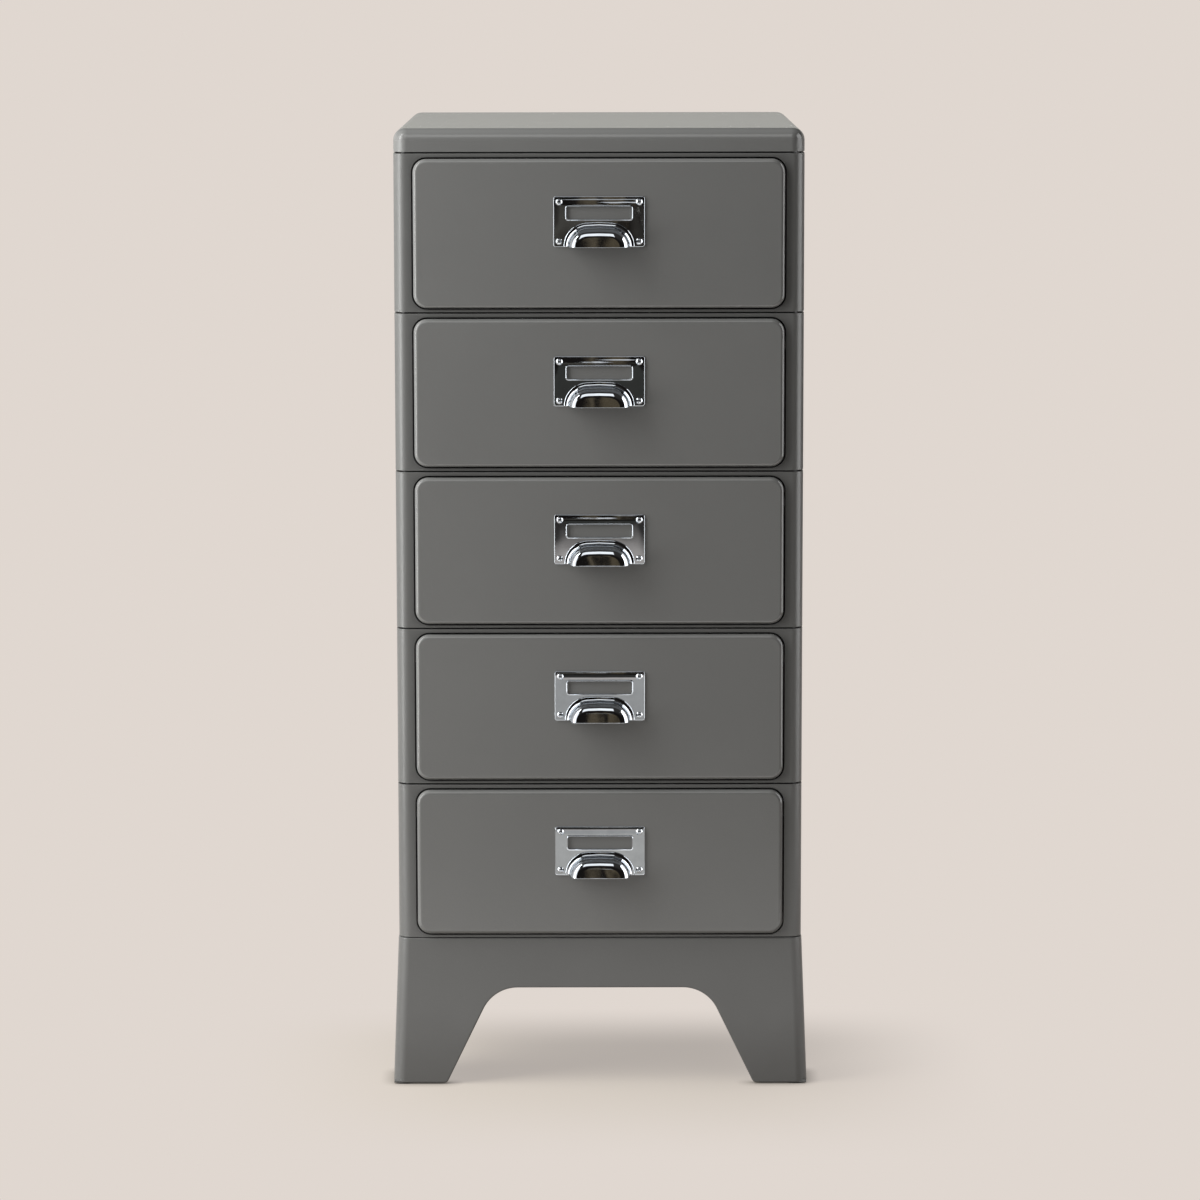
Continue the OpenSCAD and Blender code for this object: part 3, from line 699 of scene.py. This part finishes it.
def makeHousing(i):
    size = housingSizes
    low, high = housingBoxes[i]
    height, sheet, steps = high.z - low.z, size["sheet"], size["steps"]
    seam = seamProfile(*size["seam"])
    outer = [(size["flange"], 0)] + seam[::-1]
    wall = len(outer) - 1
    outer += [(inset, height - level) for inset, level in seam]
    outer += [(size["flange"], height), (size["flange"], height - sheet), (sheet, height - sheet)]
    innerWall = len(outer) - 1
    outer += [(sheet, sheet), (size["flange"], sheet), (size["flange"], 0)]
    frontEdge, backEdge = 3 * steps + 2, steps  # the flat strips between the corners, left out of the walls
    mesh = bmesh.new()
    gap = mesh.verts.layers.float.new("gap")
    loopAt = flatLoopAt(cabinetWidth, cabinetDepth, size["cornerRadius"], steps, low.z)
    loops = sweepProfile(mesh, outer, loopAt, False, False,
                         {wall: (frontEdge, backEdge), innerWall: (frontEdge, backEdge)})
    # painted shade in the seams above and below
    markLoops(gap, loops[1:3] + seamStep(loops, wall + 1))
    makeOpening(mesh, i, loops, wall, innerWall, frontEdge, gap)
    makeBackFrame(mesh, loops, wall, innerWall, backEdge, low.z + height / 2, height)
    place(finishPiece(mesh, f"housing{i}", shadedShellPaint), "cabinet", "paint", f"housing_{i}")


def wallCorners(lower, upper, edge, facing):
    # the four corners of a left-out wall strip, anticlockwise from the upper right as that side is drawn
    first, second = edge, edge + 1
    if facing == "front":
        return [upper[second], upper[first], lower[first], lower[second]]
    return [upper[first], upper[second], lower[second], lower[first]]


def makeOpening(mesh, i, loops, wall, innerWall, edge, gap):
    # the face around the drawer, bent back into the return
    size = housingSizes
    low, high = frontBoxes[i]
    width = high.x - low.x + 2 * size["frontGap"]
    height = high.z - low.z + 2 * size["frontGap"]
    radius = frontSizes["cornerRadius"] + size["frontGap"]
    bend, sheet, steps = size["openingBend"], size["sheet"], size["steps"]
    loopAt = frontLoopAt(width, height, radius, steps, faceY, (low.z + high.z) / 2)
    profile = [(-bend + x, -bend + y) for x, y in arc(0, 0, bend, 90, 0, size["bendSteps"])]
    bent = len(profile) - 1
    profile += [(0, -size["returnDepth"]), (-sheet, -size["returnDepth"]), (-sheet, -sheet)]
    rings = sweepProfile(mesh, profile, loopAt, False, False)
    # painted shade on the opening's bend and down the return, darkest inside
    markLoops(gap, rings[:bent], size["bendShadeShare"])
    markLoops(gap, rings[bent:-1])
    fillFrame(mesh, wallCorners(loops[wall], loops[wall + 1], edge, "front"), rings[0], steps)
    fillFrame(mesh, wallCorners(loops[innerWall + 1], loops[innerWall], edge, "front"), rings[-1], steps)


def makeBackFrame(mesh, loops, wall, innerWall, edge, middleZ, height):
    # the frame at the back, with the back panel behind its window
    size = housingSizes
    steps, sheet = size["steps"], size["sheet"]
    width = cabinetWidth - 2 * (size["cornerRadius"] + size["backLap"] + sheet)
    windowHeight = height - 2 * (size["backLap"] + size["seamBend"] + sheet)
    backY = middleY + cabinetDepth / 2
    points = roundedLoop(width, windowHeight, size["backCorner"], steps)
    outside = addLoop(mesh, [(x, backY, middleZ + z) for x, z in points])
    inside = addLoop(mesh, [(x, backY - sheet, middleZ + z) for x, z in points])
    bridge(mesh, outside, inside)
    fillFrame(mesh, wallCorners(loops[wall], loops[wall + 1], edge, "back"), outside, steps)
    fillFrame(mesh, wallCorners(loops[innerWall + 1], loops[innerWall], edge, "back"), inside, steps)


makeTopCover()
for number in drawerNumbers:
    makeHousing(number)
    makeDrawerFront(number)
print("cover, housings and drawer fronts made")


# Drawer trays

traySizes = {
    "sheet": 0.0008, "cornerRadius": 0.0035, "bendRadius": 0.0015, "railWidth": 0.0094, "railEdge": 0.008,
    "railBend": 0.0016, "glideGap": 0.0003, "leastRadius": 0.0001, "steps": 6, "bendSteps": 5,
}


def makeTray(i):
    size = traySizes
    low, high = trayBoxes[i]
    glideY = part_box(f"drawer_glides_{i}")[0].y
    sheet, bend, height = size["sheet"], size["bendRadius"], high.z - low.z
    outerBend = bend + sheet
    halfWidth = high.x - size["railWidth"]
    centreY = (low.y + high.y) / 2

    def loopAt(inset, level):
        points = roundedLoop(2 * (halfWidth - inset), high.y - low.y - 2 * inset,
                             max(size["cornerRadius"] - inset, size["leastRadius"]), size["steps"])
        return [(x, centreY + y, low.z + level) for x, y in points]

    third, steps = sheet / 3, size["bendSteps"]
    profile = [(outerBend - x, outerBend + y) for x, y in arc(0, 0, outerBend, -90, 0, steps)]
    profile += [(0, height - third), (third, height), (2 * third, height), (sheet, height - third)]
    profile += [(outerBend - x, outerBend + y) for x, y in arc(0, 0, bend, 0, -90, steps)]
    mesh = bmesh.new()
    sweepProfile(mesh, profile, loopAt)
    for side in (-1, 1):
        addRail(mesh, side, low, high, halfWidth, glideY)
    place(finishPiece(mesh, f"drawerTray{i}", paint), f"drawer_{i}", "paint", f"drawer_tray_{i}")


def addRail(mesh, side, low, high, halfWidth, glideY):
    # the rail folds out of the tray's upper edge and turns down; its turned edge stops at the nylon glide
    size = traySizes
    sheet, bend, radius, steps = size["sheet"], size["railBend"], size["cornerRadius"], size["bendSteps"]
    top, outside, inside = high.z, high.x, halfWidth - sheet / 2
    stop = glideY - size["glideGap"]
    turned = [(inside, top - sheet), (inside, top)]
    turned += arc(outside - bend, top - bend, bend, 90, 0, steps)
    turned += [(outside, top - size["railEdge"]), (outside - sheet, top - size["railEdge"])]
    turned += arc(outside - bend, top - bend, bend - sheet, 0, 90, steps)
    extrudeSection(mesh, turned, side, low.y + radius, stop)
    flat = [(inside, top - sheet), (inside, top), (outside, top), (outside, top - sheet)]
    extrudeSection(mesh, flat, side, stop, high.y - radius)


def extrudeSection(mesh, section, side, y0, y1):
    first = addLoop(mesh, [(side * x, y0, z) for x, z in section])
    second = addLoop(mesh, [(side * x, y1, z) for x, z in section])
    bridge(mesh, first, second)
    mesh.faces.new(first)
    mesh.faces.new(second)


for number in drawerNumbers:
    makeTray(number)
print("trays made")


# Label plates

plateSizes = {
    "edgeRadius": 0.0006, "edgeSteps": 4, "cornerRadius": 0.002, "leastRadius": 0.0002, "steps": 6,
    "windowWidth": 0.059, "windowHeight": 0.0116, "windowRise": 0.0078, "windowRadius": 0.0018,
    "rimWidth": 0.0006, "rimHeight": 0.0006, "rimStart": 0.0002, "rimFoot": (0.0008, 0.0003),
    "rimArc": (20, 160), "rimSteps": 5, "sharpAngle": 50,
    "bendHeight": 0.0082, "bendFall": 0.0004, "bendLoops": (0.06, 0.25, 0.45, 0.65, 0.85),
}


def makePlate(i):
    # one closed surface: the outline from the rear to the face, the raised rim, and back through the window
    size = plateSizes
    low, high = plateBoxes[i]
    steps, edge, rim, bend = size["steps"], size["edgeRadius"], size["rimWidth"], size["bendHeight"]
    width, height = high.x - low.x, high.z - low.z
    middleZ = (low.z + high.z) / 2
    faceOfPlate = low.y + size["rimHeight"]
    rearY = high.y
    mesh = bmesh.new()

    def plateLoop(halfWidth, points, sideZ, y):
        # a loop on the face, whose upper border bends back; sideZ adds a point on each side below the bend
        last = 2 * (steps + 1)
        points = points[:last] + [(-halfWidth, sideZ)] + points[last:] + [(halfWidth, sideZ)]
        return addLoop(mesh, [(x, y + size["bendFall"] * max(1 - (height / 2 - z) / bend, 0) ** 2, middleZ + z)
                              for x, z in points])

    def outlineAt(inset, y):
        radius = max(size["cornerRadius"] - inset, size["leastRadius"])
        points = roundedLoop(width - 2 * inset, height - 2 * inset, radius, steps)
        return plateLoop(width / 2 - inset, points, height / 2 - bend, y)

    def windowAt(grow, y):
        points = roundedLoop(size["windowWidth"] + 2 * grow, size["windowHeight"] + 2 * grow,
                             size["windowRadius"] + grow, steps)
        points = [(x, size["windowRise"] + z) for x, z in points]
        return plateLoop(size["windowWidth"] / 2 + grow, points, size["windowRise"], y)

    loops = [outlineAt(0, rearY)]
    loops += [outlineAt(edge - x, faceOfPlate + edge - y)
              for x, y in arc(0, 0, edge, 0, 90, size["edgeSteps"])]
    loops += [outlineAt(edge + bend * share, faceOfPlate) for share in size["bendLoops"]]
    loops += [windowAt(rim + foot, faceOfPlate) for foot in size["rimFoot"]]
    rimY, crest = faceOfPlate - size["rimStart"], size["rimHeight"] - size["rimStart"]
    loops += [windowAt(rim, rimY)]
    loops += [windowAt(rim / 2 + x * rim / 2, rimY - y * crest)
              for x, y in arc(0, 0, 1, *size["rimArc"], size["rimSteps"])]
    loops += [windowAt(0, faceOfPlate), windowAt(0, rearY)]
    for k in range(len(loops)):
        bridge(mesh, loops[k - 1], loops[k])
    plate = finishPiece(mesh, f"labelPlate{i}", chrome, size["sharpAngle"])
    place(plate, f"drawer_{i}", "chrome", f"pull_plate_{i}")


# Cup pulls

cupSizes = {
    "sheet": 0.0012, "flange": 0.0046, "crown": 0.0005, "lean": 0.13, "lipBevel": 0.00038,
    "shoulderRadius": 0.0088, "coveRadius": 0.0034, "browRadius": 0.0011,
    "turnSteps": 16, "shoulderSteps": 9, "insideSteps": 7, "coveSteps": 6, "browSteps": 5,
}


def cupProfile(height, depth):
    # (distance from the mouth's axis, distance out of the plate) over the outside from the flange, and inside
    size = cupSizes
    sheet, shoulder, cove, brow = size["sheet"], size["shoulderRadius"], size["coveRadius"], size["browRadius"]
    body = height - size["flange"]
    outside = [(height, 0)]
    outside += arc(height - brow, sheet - brow, brow, 0, 90, size["browSteps"])
    outside += arc(body + cove, sheet + cove, cove, 270, 180, size["coveSteps"])
    outside += arc(body - shoulder, depth - shoulder, shoulder, 0, 90, size["shoulderSteps"])
    inside = arc(body - shoulder, depth - shoulder, shoulder - sheet, 90, 0, size["insideSteps"])
    return outside, inside + [(body - sheet, 0)]


def makeCup(i):
    size = cupSizes
    low, high = cupBoxes[i]
    height, depth = high.z - low.z, high.y - low.y
    centreX = (high.x - low.x) / 2 - height
    outside, inside = cupProfile(height, depth)
    mesh = bmesh.new()

    def pointAt(side, angle, u, v):
        x = side * centreX + u * cos(angle)
        z = u * sin(angle)
        z *= 1 - size["crown"] / height * min(abs(x) / centreX, 1) ** 2
        return mesh.verts.new((x, high.y - v * (1 - size["lean"] * z / depth), low.z + z))

    turns = [(1, k / size["turnSteps"] * pi / 2) for k in range(size["turnSteps"] + 1)]  # (side, angle)
    turns += [(0, pi / 2)] + [(-1, pi - angle) for side, angle in reversed(turns)]
    outer = [[pointAt(side, angle, u, v) for u, v in outside] for side, angle in turns]
    inner = [[pointAt(side, angle, u, v) for u, v in inside] for side, angle in turns]
    for shell in (outer, inner):
        for first, second in zip(shell, shell[1:]):
            for k in range(len(first) - 1):
                mesh.faces.new((first[k], first[k + 1], second[k + 1], second[k]))
        # the flat of the cup, down to its lip
        rim = [station[-1 if shell is outer else 0] for station in shell]
        mesh.faces.new(rim)
    for first, second in zip(zip(outer, inner), zip(outer[1:], inner[1:])):
        mesh.faces.new((first[0][0], first[1][-1], second[1][-1], second[0][0]))
    for end in (0, -1):  # the cut ends of the sheet on both sides of the mouth
        mesh.faces.new(outer[end] + inner[end])
    mesh.faces.new((outer[0][-1], outer[-1][-1], inner[-1][0], inner[0][0]))
    cup = finishPiece(mesh, f"cupPull{i}", chrome, bevelWidth=size["lipBevel"])
    place(cup, f"drawer_{i}", "chrome", f"cup_pull_{i}")


for number in drawerNumbers:
    makePlate(number)
    makeCup(number)
print("label plates and cup pulls made")


# Leg base

baseSizes = {
    "sheet": 0.0015, "cornerRadius": 0.011, "splay": 0.0052, "topRadius": 0.0012, "flange": 0.016,
    "archHeight": 0.090, "footWidth": 0.049, "archLean": radians(26), "archRadius": 0.035, "footRadius": 0.004,
    "returnDepth": 0.009, "edgeBend": 0.0014, "soleWidth": 0.0195, "soleGap": 0.00015,
    "steps": 10, "bendSteps": 4, "archSteps": 16, "footSteps": 6,
}


def archOutline(half, sole, grow):
    # half of a panel's lower edge, from the foot's corner up to the arch's top, as (along, up);
    # grow moves it into the metal
    size = baseSizes
    lean = size["archLean"]
    turn = tan((pi / 2 - lean) / 2)
    halfLow = half - size["footWidth"]
    footRadius, archRadius = size["footRadius"], size["archRadius"]
    footX = halfLow - sole * tan(lean) + footRadius * turn
    archX = halfLow - size["archHeight"] * tan(lean) - archRadius * turn
    degrees = lean * 180 / pi
    return (arc(footX, sole + footRadius, footRadius - grow, 270, 180 + degrees, size["footSteps"])
            + arc(archX, size["archHeight"] - archRadius, archRadius + grow, degrees, 90, size["archSteps"]))


def makeLegBase():
    size = baseSizes
    low, high = baseBox
    steps, sheet, sole, top = size["steps"], size["sheet"], low.z, high.z
    halfX, halfY, centreY = (high.x - low.x) / 2, (high.y - low.y) / 2, (low.y + high.y) / 2
    slope = size["splay"] / (top - sole)
    mesh = bmesh.new()

    def halves(z, depth):
        return halfX - slope * (z - sole) - depth, halfY - slope * (z - sole) - depth

    def cornerPoints(corner, z, depth):
        sideX, sideY = ((1, 1), (-1, 1), (-1, -1), (1, -1))[corner]
        radius = max(size["cornerRadius"] - depth, 0)
        x, y = (half - radius for half in halves(z, depth))
        return [(u, centreY + v, z) for u, v in arc(sideX * x, sideY * y, radius,
                                                    90 * corner, 90 * corner + 90, steps)]

    def panelPoints(panel, grow, depth):
        edge = archOutline((halfX, halfY)[panel % 2], sole, grow)
        points = []
        for along, z in edge + [(-along, z) for along, z in reversed(edge)]:
            x, y = halves(z, depth)
            points.append(((along, centreY + y, z), (-x, centreY + along, z),
                           (-along, centreY - y, z), (x, centreY - along, z))[panel])
        return points

    def lowerLoop(grow, depth):
        return [addLoop(mesh, cornerPoints(k, sole + grow, depth) + panelPoints(k, grow, depth))
                for k in range(4)]

    def upperLoop(z, depth):
        return [addLoop(mesh, cornerPoints(k, z, depth)) for k in range(4)]

    def makeWall(lower, upper):
        # a panel is one flat face down to its arch, a corner a row of strips
        for k in range(4):
            for n in range(steps):
                mesh.faces.new((lower[k][n], lower[k][n + 1], upper[k][n + 1], upper[k][n]))
            after = (k + 1) % 4
            mesh.faces.new(lower[k][steps:] + [lower[after][0], upper[after][0], upper[k][steps]])

    bend, radius, inward, flange = size["edgeBend"], size["topRadius"], size["returnDepth"], size["flange"]
    lower = [lowerLoop(bend - x, bend - y) for x, y in arc(0, 0, bend, 0, 90, size["bendSteps"])][::-1]
    lower += [lowerLoop(0, inward), lowerLoop(sheet, inward), lowerLoop(sheet, sheet)]
    upper = [upperLoop(top - radius + x, radius - y) for x, y in arc(0, 0, radius, 90, 0, size["bendSteps"])]
    upper += [upperLoop(top, flange), upperLoop(top - sheet, flange), upperLoop(top - sheet, sheet)]
    for loops in (lower, upper):
        for first, second in zip(loops, loops[1:]):
            bridge(mesh, sum(first, []), sum(second, []))
    makeWall(lower[0], upper[0])
    makeWall(lower[-1], upper[-1])
    reach = size["soleWidth"]
    for sideX in (-1, 1):
        for sideY in (-1, 1):
            x0, x1 = sorted((sideX * (halfX - reach), sideX * (halfX - sheet / 2)))
            y0, y1 = sorted((sideY * (halfY - reach), sideY * (halfY - sheet / 2)))
            addBox(mesh, (x0, centreY + y0, sole + size["soleGap"]), (x1, centreY + y1, sole + sheet))
    place(finishPiece(mesh, "legBase", shadedShellPaint), "cabinet", "paint", "leg_base")


makeLegBase()
print("leg base made")


# Pull screws: four domed heads with a cross slot on every plate, each turned its own way

screwSizes = {
    "headRadius": 0.003, "headHeight": 0.0015, "rings": 16, "turnSteps": 48, "leastRise": 0.0001,
    "slotWidth": 0.0009, "slotReach": 0.0034, "slotDepth": 0.0010, "slotSlope": 0.0002,
    "shank": 0.0015, "shankLength": 0.0059, "shankSteps": 20,
    "nutRadius": 0.00278, "nutStart": 0.001, "nutHeight": 0.0024, "nutSides": 6,
    "inset": 0.005, "seed": 4, "sharpAngle": 30,
}


def slotDrop(x, z):
    # how far the cross slot sinks the dome at a point
    size = screwSizes

    def arm(across, along):
        sides = (size["slotWidth"] / 2 - abs(across)) / size["slotSlope"]
        ends = (size["slotReach"] / 2 - abs(along)) / (2 * size["slotSlope"])
        return max(min(sides, ends, 1), 0)
    return size["slotDepth"] * max(arm(x, z), arm(z, x))


def makeScrew(seat):
    # one screw along the y axis: its head on the plate in front of y = 0, its nut behind the drawer front
    size = screwSizes
    radius, height, count = size["headRadius"], size["headHeight"], size["turnSteps"]
    ball = (radius ** 2 + height ** 2) / (2 * height)  # radius of the ball that the dome is cut from
    mesh = bmesh.new()

    def ring(r, y, steps):
        return addLoop(mesh, [(x, y, z) for x, z in circle(r, steps)])

    loops = [ring(radius, 0, count)]
    for k in range(size["rings"], 0, -1):
        r = radius * k / size["rings"]
        dome = height - ball + (ball ** 2 - r ** 2) ** 0.5
        loops.append(addLoop(mesh, [(x, -max(dome - slotDrop(x, z), size["leastRise"]), z)
                                    for x, z in circle(r, count)]))
    for first, second in zip(loops, loops[1:]):
        bridge(mesh, first, second)
    mesh.faces.new(loops[0])
    mesh.faces.new(loops[-1])
    nutY = seat + size["nutStart"]
    for r, y0, y1, steps in ((size["shank"], -size["leastRise"], size["shankLength"], size["shankSteps"]),
                             (size["nutRadius"], nutY, nutY + size["nutHeight"], size["nutSides"])):
        ends = [ring(r, y0, steps), ring(r, y1, steps)]
        bridge(mesh, *ends)
        for end in ends:
            mesh.faces.new(end)
    return finishPiece(mesh, "screw", chrome, size["sharpAngle"])


def makeScrewTree():
    # four screws on the corners of a rectangle that faces the front
    group = bpy.data.node_groups.new("screwRows", "GeometryNodeTree")
    for name, kind in (("Screw", "Object"), ("Spacing X", "Float"), ("Spacing Z", "Float"), ("Seat Y", "Float"),
                       ("Middle Z", "Float"), ("Seed", "Int"), ("Material", "Material")):
        group.interface.new_socket(name, in_out="INPUT", socket_type=f"NodeSocket{kind}")
    group.interface.new_socket("Geometry", in_out="OUTPUT", socket_type="NodeSocketGeometry")
    tree = Tree(group)
    given = tree.add("NodeGroupInput").outputs
    grid = tree.add("GeometryNodeMeshGrid", Size_X=given["Spacing X"], Size_Y=given["Spacing Z"],
                    Vertices_X=2, Vertices_Y=2)
    seat = tree.add("ShaderNodeCombineXYZ", Y=given["Seat Y"], Z=given["Middle Z"])
    points = tree.add("GeometryNodeTransform", Geometry=grid.outputs["Mesh"], Translation=seat.outputs[0],
                      Rotation=(pi / 2, 0, 0))
    turn = tree.add("FunctionNodeRandomValue", {"data_type": "FLOAT"}, n2=0.0, n3=pi / 2, Seed=given["Seed"])
    rotation = tree.add("ShaderNodeCombineXYZ", Y=turn.outputs[1])
    screw = tree.add("GeometryNodeObjectInfo", Object=given["Screw"])
    screws = tree.add("GeometryNodeInstanceOnPoints", Points=points.outputs[0],
                      Instance=screw.outputs["Geometry"], Rotation=rotation.outputs[0])
    real = tree.add("GeometryNodeRealizeInstances", Geometry=screws.outputs[0])
    coated = tree.add("GeometryNodeSetMaterial", Geometry=real.outputs[0], Material=given["Material"])
    tree.add("NodeGroupOutput", Geometry=coated.outputs[0])
    return group


def makePlateScrews(i, screw, group):
    low, high = plateBoxes[i]
    values = {
        "Screw": screw, "Spacing X": high.x - low.x - 2 * screwSizes["inset"],
        "Spacing Z": high.z - low.z - 2 * screwSizes["inset"], "Seat Y": low.y + plateSizes["rimHeight"],
        "Middle Z": (low.z + high.z) / 2, "Seed": screwSizes["seed"] + i, "Material": chrome,
    }
    holder = bpy.data.objects.new(f"screwHolder{i}", bpy.data.meshes.new(f"screwHolder{i}"))
    scene.collection.objects.link(holder)
    rows = holder.modifiers.new("screws", "NODES")
    rows.node_group = group
    for item in group.interface.items_tree:
        if item.name in values:
            rows[item.identifier] = values[item.name]
    evaluated = holder.evaluated_get(bpy.context.evaluated_depsgraph_get())
    plain = bpy.data.meshes.new_from_object(evaluated)
    holder.modifiers.remove(rows)
    holder.data = plain
    holder.name = f"plateScrews{i}"
    place(holder, f"drawer_{i}", "chrome", f"pull_screws_{i}")


screw = makeScrew(plateBoxes[1][1].y - plateBoxes[1][0].y - plateSizes["rimHeight"])
screwTree = makeScrewTree()
for number in drawerNumbers:
    makePlateScrews(number, screw, screwTree)
bpy.data.objects.remove(screw)
print("screws made")


# CAD nodes that stay, with their own materials

def dress(name, material):
    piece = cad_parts[name]
    for slot in piece.material_slots:
        slot.material = material
    if not piece.material_slots:
        piece.data.materials.append(material)


for name in ("stack_bolts", "stack_nuts"):
    dress(name, zinc)
for number in drawerNumbers:
    dress(f"back_panel_{number}", paint)
    dress(f"runner_left_{number}", zinc)
    dress(f"runner_right_{number}", zinc)
    dress(f"drawer_glides_{number}", nylon)
dress("runner_pads", nylon)
dress("foot_glides", darkNylon)
print("CAD nodes dressed")
